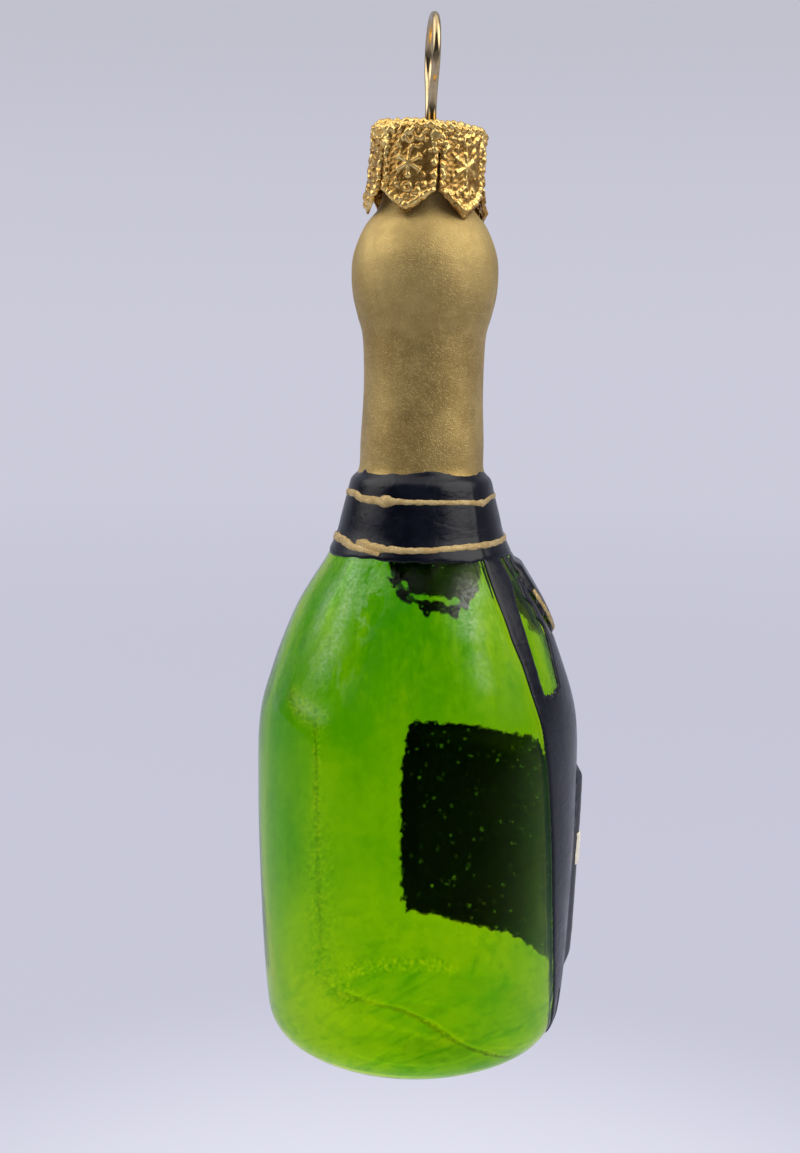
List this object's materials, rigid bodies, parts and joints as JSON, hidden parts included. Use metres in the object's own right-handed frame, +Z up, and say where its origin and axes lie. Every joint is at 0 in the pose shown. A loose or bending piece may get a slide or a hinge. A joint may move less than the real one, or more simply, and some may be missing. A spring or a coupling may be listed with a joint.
{
  "type": "hanging glass bottle ornament",
  "caption": "Hollow blown-glass ornament shaped like a champagne bottle, with a lacquered neck and label, and a pull-off crown cap on a spring-wire hanger.",
  "frame": {"origin": "centre of the flat on the base, on the bottle's axis", "axes": "+Z up along the bottle's axis, -Y towards the label's middle, +X to the right of someone who faces the label"},
  "size_m": [0.0386, 0.0398, 0.1211],
  "materials": {
    "green_glass": "clear, glossy, blown",
    "gold_lacquer": "satin metallic lacquer",
    "black_lacquer": "glossy hand-brushed lacquer",
    "gold_enamel": "raised metallic enamel",
    "cream_enamel": "glossy enamel",
    "cap_metal": "bright stamped gold finish",
    "hanger_metal": "pale gold-plated spring wire"
  },
  "bodies": {
    "bottle": {"glass_bottle": "green_glass", "neck_gilding": "gold_lacquer", "collar_lacquer": "black_lacquer", "upper_gold_line": "gold_enamel", "lower_gold_line": "gold_enamel", "left_lobe_lacquer": "black_lacquer", "right_lobe_lacquer": "black_lacquer", "left_lobe_edging": "gold_enamel", "right_lobe_edging": "gold_enamel", "flank_lacquer": "black_lacquer", "label_lacquer": "black_lacquer", "label_border": "gold_enamel", "label_ribbon": "cream_enamel", "label_emblem": "gold_enamel"},
    "hanger": {"hanger_wire": "hanger_metal"},
    "cap": {"crown_cap": "cap_metal"}
  },
  "joints": [
    {"name": "hanger_pull", "type": "slide", "parent": "bottle", "child": "hanger", "axis": [0, 0, 1], "range_m": [0, 0.024]},
    {"name": "cap_slide", "type": "slide", "parent": "hanger", "child": "cap", "axis": [0, 0, 1], "range_m": [0, 0.0025]}
  ]
}
